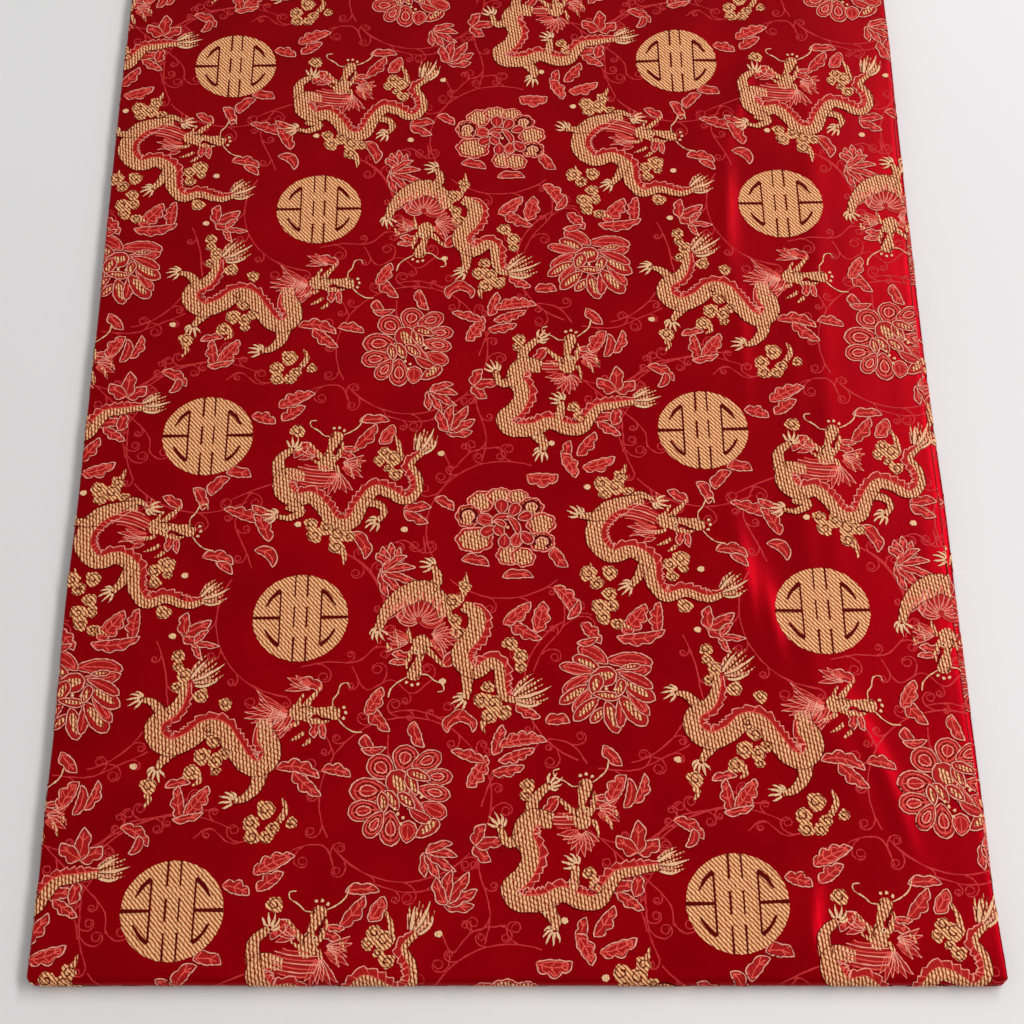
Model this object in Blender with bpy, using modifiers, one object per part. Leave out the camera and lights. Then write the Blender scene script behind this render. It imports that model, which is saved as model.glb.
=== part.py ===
"""A cut length of silk brocade, folded for the shelf and lying flat.

Both side edges of the cloth are folded under to meet near the middle, and the
pair of layers that this makes is then folded back under itself along the near
edge. Units are metres, +Z is up, +X is to the right and +Y runs away from the
near fold. The origin is the middle of the box's underside.
"""

import math
from collections import namedtuple

import bmesh
import bpy

# Driving sizes
PANEL_WIDTH = 0.368
PANEL_LENGTH = 0.500
CLOTH = 0.0010
AIR = 0.0010
CORNER_RADIUS = 0.0025
FLAP_SPLIT = 0.004
FAR_STEP = 0.0018

# Sizes that follow from them
PAIR = 2 * CLOTH + AIR
STACK = 2 * PAIR + AIR
TURN_RADIUS = STACK / 2
SIDE_RADIUS = (CLOTH + AIR) / 2
SIDE_REACH = PAIR / 2
OUTER_DEPTH = CLOTH / 2
INNER_DEPTH = PAIR - CLOTH / 2
NEAR_Y = -PANEL_LENGTH / 2
MM = 0.001

# Spans of the flat cloth along each stretch of its folded path
FLAP_SPANS = 4
SIDE_SPANS = 6
PLAIN_SPANS = 8
RIPPLED_SPANS = 17
PLAIN_SHARE = 0.56
TOP_SPANS = 28
TURN_SPANS = 8
UNDER_SPANS = 10

# The folded edges, in millimetres: how far each lies inside the panel's width
Outline = namedtuple("Outline", "from_near left right under_left under_right")
OUTLINE = (
    Outline(0, 8.0, 0.8, 8.4, 0.8),
    Outline(30, 8.1, 2.0, 8.9, 1.3),
    Outline(69, 7.1, 3.2, 8.3, 1.0),
    Outline(110, 6.4, 3.9, 7.2, 1.1),
    Outline(154, 4.8, 4.3, 5.9, 1.2),
    Outline(200, 4.6, 4.0, 5.2, 0.8),
    Outline(248, 3.8, 4.6, 4.9, 1.6),
    Outline(300, 3.0, 4.4, 3.6, 1.4),
    Outline(355, 1.6, 3.6, 2.4, 1.0),
    Outline(400, 0.6, 2.6, 0.9, 0.3),
    Outline(425, 0.2, 0.9, 1.2, 0.1),
    Outline(470, 0.0, 0.4, 0.9, 0.5),
    Outline(500, 0.1, 0.4, 0.6, 0.6),
)

# Soft ridges of the top layers, in millimetres: middle, spread, slant and height
Ridge = namedtuple("Ridge", "x y across along lean height")
RIDGES = (
    Ridge(128, 0, 40, 420, 0.00, 0.7),
    Ridge(84, 205, 13, 45, 0.30, 0.9),
    Ridge(90, 85, 15, 50, -0.10, 0.9),
    Ridge(95, -92, 10, 38, -0.12, 1.3),
    Ridge(127, -158, 13, 34, -0.30, 1.0),
    Ridge(103, -226, 9, 26, 0.10, 1.3),
    Ridge(152, 60, 14, 130, 0.04, 0.6),
    Ridge(-178, 140, 12, 30, 0.00, 0.5),
)
EDGE_FADE = 0.011
NEAR_FADE = 0.014
FLAP_LIFT = 0.4

# Finish
RED = (0.30, 0.002, 0.006, 1.0)
ROUGHNESS = 0.38


def clear_scene():
    """Remove whatever the opened file holds."""
    for item in list(bpy.data.objects):
        bpy.data.objects.remove(item)


def ease(t):
    """Smooth step from 0 to 1."""
    t = min(max(t, 0.0), 1.0)
    return t * t * (3 - 2 * t)


def inset(from_near, edge):
    """Read one column of the outline table, on a smooth curve through its rows."""
    place = min(max(from_near / MM, OUTLINE[0].from_near), OUTLINE[-1].from_near)
    last = len(OUTLINE) - 1
    i = 0
    while i < last - 1 and OUTLINE[i + 1].from_near < place:
        i += 1
    rows = [OUTLINE[min(max(k, 0), last)] for k in (i - 1, i, i + 1, i + 2)]
    a, b, c, d = (getattr(row, edge) for row in rows)
    t = (place - rows[1].from_near) / (rows[2].from_near - rows[1].from_near)
    rise = (c - a) / 2
    leave = (d - b) / 2
    curve = (2 * b - 2 * c + rise + leave) * t**3
    curve += (3 * c - 3 * b - 2 * rise - leave) * t**2
    return (curve + rise * t + b) * MM


def rounding(from_near):
    """How far the two near corners are rounded off at this distance."""
    short = max(CORNER_RADIUS - from_near, 0.0)
    return CORNER_RADIUS - math.sqrt(CORNER_RADIUS**2 - short**2)


def side_edges(from_near, under):
    """x of the left and right folded edges, from the top layers (0) to the under (1)."""
    left = (1 - under) * inset(from_near, "left") + under * inset(from_near, "under_left")
    right = (1 - under) * inset(from_near, "right") + under * inset(from_near, "under_right")
    corner = rounding(from_near)
    return left + corner - PANEL_WIDTH / 2, PANEL_WIDTH / 2 - right - corner


def columns():
    """Stretch and position along it of every column, from one cut edge to the other."""
    cols = [("left_flap", i / FLAP_SPANS) for i in range(FLAP_SPANS)]
    cols += [("left_fold", i / SIDE_SPANS) for i in range(SIDE_SPANS)]
    cols += [("face", PLAIN_SHARE * i / PLAIN_SPANS) for i in range(PLAIN_SPANS)]
    rippled = 1 - PLAIN_SHARE
    cols += [("face", PLAIN_SHARE + rippled * i / RIPPLED_SPANS) for i in range(RIPPLED_SPANS)]
    cols += [("right_fold", i / SIDE_SPANS) for i in range(SIDE_SPANS)]
    cols += [("right_flap", i / FLAP_SPANS) for i in range(FLAP_SPANS + 1)]
    return cols


def rows():
    """Stretch and position along it of every row, from one cut end to the other."""
    found = [("top", i / TOP_SPANS) for i in range(TOP_SPANS)]
    found += [("turn", i / TURN_SPANS) for i in range(TURN_SPANS)]
    found += [("under", i / UNDER_SPANS) for i in range(UNDER_SPANS + 1)]
    return found


def across_panel(stretch, t, left, right):
    """x, depth below the outer face and share of the lift, in the folded pair of layers."""
    turn = math.pi * t
    if stretch == "left_flap":
        return (1 - t) * -FLAP_SPLIT + t * (left + SIDE_REACH), INNER_DEPTH, FLAP_LIFT
    if stretch == "left_fold":
        x = left + SIDE_REACH - SIDE_RADIUS * math.sin(turn)
        return x, SIDE_REACH + SIDE_RADIUS * math.cos(turn), FLAP_LIFT
    if stretch == "face":
        x = left + SIDE_REACH + t * (right - left - 2 * SIDE_REACH)
        return x, OUTER_DEPTH, 1.0
    if stretch == "right_fold":
        x = right - SIDE_REACH + SIDE_RADIUS * math.sin(turn)
        return x, SIDE_REACH - SIDE_RADIUS * math.cos(turn), FLAP_LIFT
    return (1 - t) * (right - SIDE_REACH) + t * FLAP_SPLIT, INNER_DEPTH, FLAP_LIFT


def lift(x, y, left, right):
    """Height of the soft ridges of the top layers."""
    total = 0.0
    for ridge in RIDGES:
        dy = y / MM - ridge.y
        dx = x / MM - ridge.x - ridge.lean * dy
        total += ridge.height * math.exp(-((dx / ridge.across) ** 2) - (dy / ridge.along) ** 2)
    sides = ease((right - x) / EDGE_FADE) * ease((x - left) / EDGE_FADE)
    return total * MM * sides * ease((y - NEAR_Y - TURN_RADIUS) / NEAR_FADE)


def folded_point(column, row):
    """Where a point of the flat cloth comes to lie."""
    stretch, t = row
    if stretch == "top":
        from_near = PANEL_LENGTH + t * (TURN_RADIUS - PANEL_LENGTH)
        left, right = side_edges(from_near, 0.0)
        x, depth, share = across_panel(*column, left, right)
        y = NEAR_Y + from_near
        return x, y, STACK - depth + share * lift(x, y, left, right)
    if stretch == "turn":
        turn = math.pi * t
        left, right = side_edges(TURN_RADIUS * (1 - math.sin(turn)), t)
        x, depth, share = across_panel(*column, left, right)
        radius = TURN_RADIUS - depth
        y = NEAR_Y + TURN_RADIUS - radius * math.sin(turn)
        return x, y, TURN_RADIUS + radius * math.cos(turn)
    from_near = TURN_RADIUS + t * (PANEL_LENGTH - FAR_STEP - TURN_RADIUS)
    left, right = side_edges(from_near, 1.0)
    x, depth, share = across_panel(*column, left, right)
    return x, NEAR_Y + from_near, depth


def brocade_material():
    """Deep red satin."""
    material = bpy.data.materials.new("silk_brocade_red")
    material.use_nodes = True
    shader = material.node_tree.nodes["Principled BSDF"]
    shader.inputs["Base Color"].default_value = RED
    shader.inputs["Roughness"].default_value = ROUGHNESS
    shader.inputs["Metallic"].default_value = 0.0
    return material


def folded_cloth(collection):
    """The whole cut length as one sheet: a flat grid laid along its folds, then thickened."""
    cols = columns()
    lines = rows()
    spans_across = len(cols) - 1
    spans_along = len(lines) - 1
    bm = bmesh.new()
    bmesh.ops.create_grid(bm, x_segments=spans_across, y_segments=spans_along, size=0.5)
    for vert in bm.verts:
        i = round((vert.co.x + 0.5) * spans_across)
        j = round((0.5 - vert.co.y) * spans_along)
        vert.co = folded_point(cols[i], lines[j])
    mesh = bpy.data.meshes.new("silk_cloth")
    bm.to_mesh(mesh)
    bm.free()
    mesh.shade_smooth()
    mesh.materials.append(brocade_material())
    cloth = bpy.data.objects.new("silk_cloth", mesh)
    collection.objects.link(cloth)
    thick = cloth.modifiers.new("cloth thickness", "SOLIDIFY")
    thick.thickness = CLOTH
    thick.offset = 0.0
    thick.use_even_offset = True
    return cloth


def main():
    clear_scene()
    collection = bpy.data.collections.new("folded_silk_brocade")
    bpy.context.scene.collection.children.link(collection)
    folded_cloth(collection)


main()
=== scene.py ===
"""Looks of the folded silk brocade.

The cloth is one thin satin sheet that lies on the folds of the CAD solid. Its woven figures
are thin raised patches. They are drawn flat, in one repeat of the pattern, then copied over
the whole cloth and folded with it. Cloth and pattern sizes are in millimetres, and only the
finished meshes are in metres.
"""

import math
from collections import namedtuple

import bpy
import numpy as np
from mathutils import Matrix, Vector


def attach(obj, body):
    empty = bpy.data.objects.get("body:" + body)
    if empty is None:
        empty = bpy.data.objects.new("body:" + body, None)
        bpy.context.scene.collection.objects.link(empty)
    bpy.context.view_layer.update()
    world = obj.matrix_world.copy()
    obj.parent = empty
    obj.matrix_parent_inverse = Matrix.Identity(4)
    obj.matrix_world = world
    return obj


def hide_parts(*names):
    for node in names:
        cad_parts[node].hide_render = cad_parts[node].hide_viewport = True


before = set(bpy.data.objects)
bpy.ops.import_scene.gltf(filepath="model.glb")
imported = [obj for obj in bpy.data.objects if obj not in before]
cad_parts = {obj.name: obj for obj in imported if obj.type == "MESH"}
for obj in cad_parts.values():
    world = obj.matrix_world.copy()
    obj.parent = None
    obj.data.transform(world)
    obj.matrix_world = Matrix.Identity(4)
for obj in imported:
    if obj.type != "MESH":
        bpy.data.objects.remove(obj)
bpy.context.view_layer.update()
MM = 0.001


def table(kind, *rows):
    """The rows of a table, as named tuples of one kind."""
    return tuple(kind(*row) for row in rows)


# The folded panel, as the CAD solid has it
PANEL_WIDTH = 368.0
PANEL_LENGTH = 500.0
PAIR = 3.0
STACK = 7.0
CORNER_RADIUS = 2.5
FLAP_SPLIT = 4.0
FAR_STEP = 1.8
FLAP_LIFT = 0.4
EDGE_FADE = 11.0
NEAR_FADE = 14.0
NEAR_Y = -PANEL_LENGTH / 2
TURN_RADIUS = STACK / 2
SIDE_REACH = PAIR / 2

# The sheet: its thickness, and how far the highest threads stand over its ground
SHEET = 0.6
FLOAT_HEIGHT = 0.4
SIDE_ARM = SIDE_REACH - SHEET / 2
TURN_ARM = TURN_RADIUS - SHEET / 2
SIDE_ARC = math.pi * SIDE_ARM
TURN_ARC = math.pi * TURN_ARM
TOP_END = NEAR_Y + TURN_RADIUS
FAR_END = -NEAR_Y
UNDER_END = TOP_END - TURN_ARC - (PANEL_LENGTH - FAR_STEP - TURN_RADIUS)

# The folded edges: how far each lies inside the panel's width
Outline = namedtuple("Outline", "from_near left right under_left under_right")
OUTLINE = table(
    Outline,
    (0, 8.0, 0.8, 8.4, 0.8), (30, 8.1, 2.0, 8.9, 1.3), (69, 7.1, 3.2, 8.3, 1.0),
    (110, 6.4, 3.9, 7.2, 1.1), (154, 4.8, 4.3, 5.9, 1.2), (200, 4.6, 4.0, 5.2, 0.8),
    (248, 3.8, 4.6, 4.9, 1.6), (300, 3.0, 4.4, 3.6, 1.4), (355, 1.6, 3.6, 2.4, 1.0),
    (400, 0.6, 2.6, 0.9, 0.3), (425, 0.2, 0.9, 1.2, 0.1), (470, 0.0, 0.4, 0.9, 0.5),
    (500, 0.1, 0.4, 0.6, 0.6),
)

# Soft ridges and creases of the top layers: middle, spread, slant and height
Ridge = namedtuple("Ridge", "x y across along lean height")
RIDGES = table(
    Ridge,
    (128, 0, 40, 420, 0.00, 0.7), (84, 205, 13, 45, 0.30, 0.9), (90, 85, 15, 50, -0.10, 0.9),
    (95, -92, 10, 38, -0.12, 1.3), (127, -158, 13, 34, -0.30, 1.0), (103, -226, 9, 26, 0.10, 1.3),
    (152, 60, 14, 130, 0.04, 0.6), (-178, 140, 12, 30, 0.00, 0.5), (96, -84, 3.6, 24, -0.12, 0.50),
    (106, -104, 3.2, 16, -0.10, 0.6), (109, 168, 3.6, 26, 0.30, 0.6), (99, 106, 4.0, 30, 0.05, 0.6),
    (101, 26, 4.0, 34, 0.00, 0.45), (140, -156, 4.0, 20, -0.40, 0.48),
    (149, -186, 3.6, 18, -0.25, 0.38), (112, -230, 3.6, 20, 0.12, 0.85),
    (122, -70, 5.0, 110, 0.03, 0.35), (136, 30, 6.0, 150, 0.03, 0.35),
    (154, 70, 14.0, 120, 0.04, -0.40), (60, -120, 9.0, 110, 0.00, 0.25),
    (176, -100, 8.0, 50, 0.00, 0.35),
)

# One repeat of the pattern, and how it lies on the panel
REPEAT_X = 210.0
REPEAT_Y = 204.86
PATTERN_TILT = 0.77
PATTERN_SHIFT = (-130.0, 187.0)
COPIES_ACROSS = range(-2, 3)
COPIES_ALONG = range(-4, 4)

# Width of a drawn line, and height of each kind of thread over the ground
LINE = 0.43
THREADS = {
    "vine": 0.06,
    "rose": 0.10,
    "gold": 0.17,
    "scaled": 0.17,
    "pink": 0.23,
    "peach": 0.28,
    "cream": 0.29,
    "dark": 0.35,
}

# Patches of one thread differ a little in height, so that none share a plane
STAGGER = 0.006
STAGGERED = 7
HAIR = 0.0002
HAIRS = 11

# Heights of patches that lie over each other in turn, and of the lines on each
FIRST_LEVEL = 0.10
LEVEL_STEP = 0.012
LINE_STEP = 0.006

# A woven edge strays a little: how far, and how quickly it turns
STRAY = 0.14
SWAY = 2.0
Wave = namedtuple("Wave", "quick slow")
WAVE_X = Wave(5.1, 1.7)
WAVE_Y = Wave(4.3, 1.9)


# Folding

def ease(t):
    """Smooth step from 0 to 1."""
    t = np.clip(t, 0, 1)
    return t * t * (3 - 2 * t)


def inset(from_near, edge):
    """One column of the outline table, on a smooth curve through its rows."""
    stops = np.array([row.from_near for row in OUTLINE], float)
    values = np.array([getattr(row, edge) for row in OUTLINE])
    last = len(stops) - 1
    place = np.clip(from_near, stops[0], stops[last])
    i = np.clip(np.searchsorted(stops, place) - 1, 0, last - 1)
    a, b, c, d = (values[np.clip(i + k, 0, last)] for k in (-1, 0, 1, 2))
    t = (place - stops[i]) / (stops[i + 1] - stops[i])
    start = (c - a) / 2
    leave = (d - b) / 2
    curve = (2 * b - 2 * c + start + leave) * t**3
    curve += (3 * c - 3 * b - 2 * start - leave) * t**2
    return curve + start * t + b


def along_fold(along):
    """Turn at the near fold, length past it, and the x where each side fold starts."""
    over = TOP_END - along
    turn = np.clip(over / TURN_ARM, 0, math.pi)
    past = np.maximum(over - TURN_ARC, 0)
    from_near = np.where(over <= 0, along - NEAR_Y, TURN_RADIUS * (1 - np.sin(turn)) + past)
    under = turn / math.pi
    left = (1 - under) * inset(from_near, "left") + under * inset(from_near, "under_left")
    right = (1 - under) * inset(from_near, "right") + under * inset(from_near, "under_right")
    short = np.clip(CORNER_RADIUS - from_near, 0, CORNER_RADIUS)
    corner = CORNER_RADIUS - np.sqrt(CORNER_RADIUS**2 - short**2) + SIDE_REACH
    return turn, past, left + corner - PANEL_WIDTH / 2, PANEL_WIDTH / 2 - right - corner


def lift(x, y, low, high):
    """Height of the soft ridges of the top layers."""
    total = 0.0
    for ridge in RIDGES:
        dy = y - ridge.y
        dx = x - ridge.x - ridge.lean * dy
        total = total + ridge.height * np.exp(-((dx / ridge.across) ** 2) - (dy / ridge.along) ** 2)
    sides = ease((high + SIDE_REACH - x) / EDGE_FADE) * ease((x - low + SIDE_REACH) / EDGE_FADE)
    return total * sides * ease((y - TOP_END) / NEAR_FADE)


def folded(across, along, rise):
    """Where points of the flat cloth come to lie, rise above the ground of its face, in metres."""
    turn, past, low, high = along_fold(along)
    beyond = np.maximum(low - across, 0) + np.maximum(across - high, 0)
    hand = np.where(across < 0, -1.0, 1.0)
    side_turn = np.clip(beyond / SIDE_ARM, 0, math.pi)
    flap = np.maximum(beyond - SIDE_ARC, 0)
    arm = SIDE_REACH - FLOAT_HEIGHT + rise
    x = np.clip(across, low, high) + hand * (arm * np.sin(side_turn) - flap)
    depth = SIDE_REACH - arm * np.cos(side_turn)
    reach = TURN_RADIUS - depth
    y = TOP_END + np.maximum(along - TOP_END, 0) + past - reach * np.sin(turn)
    share = 1 - (1 - FLAP_LIFT) * side_turn / math.pi
    z = TURN_RADIUS + reach * np.cos(turn) + share * lift(x, y, low, high) * (turn <= 0)
    return np.stack([x, y, z], -1) * MM


# Flat drawing in one repeat of the pattern

drawn = {thread: [] for thread in THREADS}


def strayed(a, b, wave):
    """How far a woven edge strays, quickly along a and slowly along b."""
    return STRAY * np.sin(wave.quick * a + SWAY * np.sin(wave.slow * b))


def add(thread, points, faces, crown=0.0, level=None):
    """Keep one patch of a thread: flat points, triangles, and how much each point is puffed up.

    A level lays it over lower levels. Without one it lies at its thread's own height.
    """
    patches = drawn[thread]
    if level is None:
        level = THREADS[thread] + STAGGER * (len(patches) % STAGGERED)
    level = level + HAIR * (len(patches) % HAIRS)
    x, y = np.asarray(points, float).T
    height = np.zeros(len(x)) + crown + level
    placed = np.column_stack([x + strayed(y, x, WAVE_X), y + strayed(x, y, WAVE_Y), height])
    patches.append(placed[np.asarray(faces)])


def grid_faces(rows, cols, closed=False):
    """Triangles of a grid of points, joined round its rows where it is closed."""
    row, col = np.meshgrid(np.arange(rows - (not closed)), np.arange(cols - 1), indexing="ij")
    a = (row * cols + col).ravel()
    b = ((row + 1) % rows * cols + col).ravel()
    return np.concatenate([np.stack([a, a + 1, b + 1], 1), np.stack([a, b + 1, b], 1)])


def smooth(knots, step=1.4):
    """A smooth curve through the knots. Columns after x and y, such as a width, are carried along."""
    knots = np.asarray(knots, float)
    ends = np.vstack([2 * knots[0] - knots[1], knots, 2 * knots[-1] - knots[-2]])
    stretches = []
    for a, b, c, d in zip(ends, ends[1:], ends[2:], ends[3:]):
        count = max(2, round(np.linalg.norm((c - b)[:2]) / step))
        t = np.arange(count)[:, None] / count
        curve = 2 * b + (c - a) * t
        curve = curve + (2 * a - 5 * b + 4 * c - d) * t**2 + (3 * b - a - 3 * c + d) * t**3
        stretches.append(curve / 2)
    return np.vstack(stretches + [knots[-1:]])


def sideways(line):
    """Unit vectors to the left of a line."""
    ahead = np.gradient(line, axis=0)
    ahead /= np.linalg.norm(ahead, axis=1)[:, None] + 1e-9
    return np.column_stack([-ahead[:, 1], ahead[:, 0]])


def reach_along(line):
    """How far along a line each of its points lies."""
    return np.concatenate([[0], np.cumsum(np.linalg.norm(np.diff(line, axis=0), axis=1))])


def toward(degrees):
    """Unit vectors at the given angles."""
    angle = np.radians(degrees)
    return np.stack([np.cos(angle), np.sin(angle)], -1)


def turned(points, degrees):
    """Points turned about the origin."""
    c, s = toward(degrees)
    return np.asarray(points, float) @ np.array([[c, s], [-s, c]])


def trail(x, y, steps):
    """A line that starts at x, y and takes the given steps."""
    return np.cumsum(steps, 0) - steps[0] + (x, y)


def curving(x, y, length, angle, bend, count):
    """A line from x, y that turns by bend degrees, after each point's share of the way."""
    t = np.linspace(0, 1, count)
    return t, trail(x, y, toward(angle + bend * t) * length / (count - 1))


def bowed(x, y, length, angle, bend, count):
    """A line whose middle is at x, y and which turns by bend degrees along its length."""
    t = np.linspace(-0.5, 0.5, count)
    steps = toward(angle + bend * t) * length / (count - 1)
    line = np.cumsum((steps + np.roll(steps, 1, 0)) / 2, 0)
    return line - line[count // 2] + (x, y)


def strip(thread, line, width, spans=1, puff=0.0, level=None):
    """A ribbon along a line, as wide as width says at each of its points."""
    line = np.asarray(line, float)
    half = np.broadcast_to(np.asarray(width, float), len(line)) / 2
    places = np.linspace(-1, 1, spans + 1)
    points = line[:, None, :] + sideways(line)[:, None, :] * (half[:, None] * places)[..., None]
    crown = np.tile(puff * (1 - places**2), len(line))
    add(thread, points.reshape(-1, 2), grid_faces(len(line), spans + 1), crown, level)


def brush(thread, knots, puff):
    """A stroke through knots of x, y and width."""
    line = smooth(knots, 1.0)
    strip(thread, line[:, :2], line[:, 2], 2, puff)


# Points round a patch: the fewest, and for each millimetre of width and each lobe
FEWEST_POINTS = 10
WIDTH_POINTS = 3
LOBE_POINTS = 5


def disc(thread, x, y, width, height=None, angle=0.0, lobes=0, depth=0.0, puff=0.03, level=None):
    """A round or lobed patch. It gives back the points of its rim."""
    count = max(FEWEST_POINTS, int(width * WIDTH_POINTS), lobes * LOBE_POINTS)
    turn = np.linspace(0, 2 * math.pi, count, endpoint=False)
    radius = 1 - depth * (1 - np.abs(np.sin(turn * lobes / 2))) if lobes else np.ones(count)
    oval = np.column_stack([np.cos(turn) * width, np.sin(turn) * (height or width)]) / 2
    rim = turned(oval * radius[:, None], angle)
    steps = np.linspace(0, 1, max(2, round(width / 3) + 1))
    points = rim[:, None, :] * steps[None, :, None] + (x, y)
    crown = np.tile(puff * (1 - steps**2), count)
    add(thread, points.reshape(-1, 2), grid_faces(count, len(steps), closed=True), crown, level)
    return rim + (x, y)


def level_of(order):
    """The height of one of a group of patches that lie over each other in turn."""
    return FIRST_LEVEL + LEVEL_STEP * order


# A leaf or petal: the dark rim under its outline, which is painted shadow between overlapping leaves
# and petals, its inner rings and its veins
SHADOW_RIM = 2.1
RING_LINES = (("pink", 0.74), ("dark", 0.58), ("peach", 0.44))
VEIN_REACH = 0.8

# How far its sides stand out between the notches, and how much more at each lobe's top
OUTER_SIDE = 0.62
OUTER_LOBE = 0.48
INNER_SIDE = 0.85
INNER_LOBE = -0.10
NARROW = 5.0


def blade(
    x, y, length, width, angle, bend=0.0, lobes=0, order=0, rings=0, ribs=True, fat=0.45, blunt=0.7
):
    """A leaf or petal about its middle: a red spindle with a light outline, rings and a midrib.

    A bent leaf has round lobes with sharp notches between them, mostly on its outer side.
    """
    level = level_of(order)
    over = level + LINE_STEP
    count = max(9, int(length * 1.1), lobes * LOBE_POINTS + 1)
    line = bowed(x, y, length, angle, bend, count)
    t = np.linspace(0, 1, count)
    half = width / 2 * np.sin(math.pi * t ** (math.log(0.5) / math.log(fat))) ** blunt
    notch = np.abs(np.sin(math.pi * lobes * t)) if lobes else np.ones(count)
    outer = half * (OUTER_SIDE + OUTER_LOBE * notch)
    inner = half * (INNER_SIDE + INNER_LOBE * notch) if lobes else half
    side = sideways(line) * (1 if bend < 0 else -1)
    spans = 2 if width < NARROW else 4
    strip("rose", line + side * ((outer - inner) / 2)[:, None], outer + inner, spans, level=level)
    middle = line[count // 2]
    for edge in (line + side * outer[:, None], line - side * inner[:, None]):
        # Painted shadow: a dark rim under the light outline.
        strip("dark", edge, LINE * SHADOW_RIM, level=level + LINE_STEP / 2)
        strip("peach", edge, LINE, level=over)
        for thread, share in RING_LINES[: max(2 * rings - 1, 0)]:
            strip(thread, middle + (edge - middle) * share, LINE, level=over)
    if not ribs:
        return
    strip("pink", line[1 : count - 2], LINE, level=over)
    for k in range(lobes):
        i = round((k + 0.5) / lobes * (count - 1))
        for reach in (outer[i], -inner[i]):
            vein = [line[max(i - 2, 0)], line[i] + side[i] * reach * VEIN_REACH]
            strip("pink", vein, LINE, level=over)


# A fan of leaves: its half spread, and how its leaves bend and widen
PALM_SPREAD = 58
PALM_BEND = 40
PALM_MIDDLE_BEND = 15
PALM_WIDENED = 1.35


def palm(x, y, length, width, angle, lobes):
    """Narrow leaves that fan out from one foot at x, y."""
    for k, share in enumerate(np.linspace(-1, 1, lobes)):
        reach = length * (1.12 - 0.28 * abs(share))
        turn = angle + PALM_SPREAD * share
        middle = toward(turn) * reach / 2 + (x, y)
        bend = -PALM_BEND * share if share else PALM_MIDDLE_BEND
        blade(*middle, reach, width / lobes * PALM_WIDENED, turn, bend, 2, k)


TIP_WIDTH = 0.15


def lock(x, y, length, width, angle, bend, thread, spans=1):
    """One lock of hair, which starts at x, y and tapers to its tip."""
    t, line = curving(x, y, length, angle, bend, max(6, int(length * 0.9)))
    taper = (1 - t) ** 0.5 * (0.6 + 0.4 * np.sin(math.pi * t))
    strip(thread, line, width * taper + TIP_WIDTH, spans, 0.04)
    return line


def flame(x, y, length, width, angle, bend):
    """A red lock with a light line along each edge."""
    t, line = curving(x, y, length, angle, bend, max(7, int(length)))
    half = width / 2 * (0.55 + 0.45 * np.sin(math.pi * t)) * (1 - t**3)
    side = sideways(line) * half[:, None]
    strip("rose", line, 2 * half)
    strip("peach", line + side, LINE * 0.7)
    strip("pink", line - side, LINE * 0.9)


# Medallions

MEDALLION_RADIUS = 19.1
MEDALLIONS = ((0.0, -204.9), (42.8, -290.5))

# Places and ends of the slits on one side of the middle, and their widths
BAR_PLACE = 8.2
BAR_HALF = 11.6
BAR_REACH = MEDALLION_RADIUS - 0.1
INNER_PLACE = 2.5
INNER_ENDS = ((9.3, 19.0), (-4.2, 4.4), (-19.0, -8.6))
HOOK = (1.9, 3.0)
CURVE = ((8.2, 12.2), (11.2, 9.6), (14.0, 5.2))
LEVEL_SLIT = 1.375
THIN_SLIT = 0.715
HOOK_SLIT = 0.4
CURVE_SLIT = (1.87, 0.8)


def medallion(x, y):
    """A round longevity sign: a gold disc with straight and curved slits."""
    disc("gold", x, y, 2 * MEDALLION_RADIUS, puff=0.02)
    for side in (-1, 1):
        bar = x + side * BAR_PLACE
        inner = x + side * INNER_PLACE
        strip("dark", [(bar, y), (x + side * BAR_REACH, y)], LEVEL_SLIT)
        strip("dark", [(bar, y + BAR_HALF), (bar, y - BAR_HALF)], THIN_SLIT)
        for low, high in INNER_ENDS:
            strip("dark", [(inner, y + low), (inner, y + high)], THIN_SLIT)
            strip("dark", [(x + side * place, y + high) for place in HOOK], HOOK_SLIT)
        for end in (-1, 1):
            line = smooth(np.array(CURVE) * (side, end)) + (x, y)
            strip("dark", line, np.linspace(*CURVE_SLIT, len(line)))


# Dragons

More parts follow.
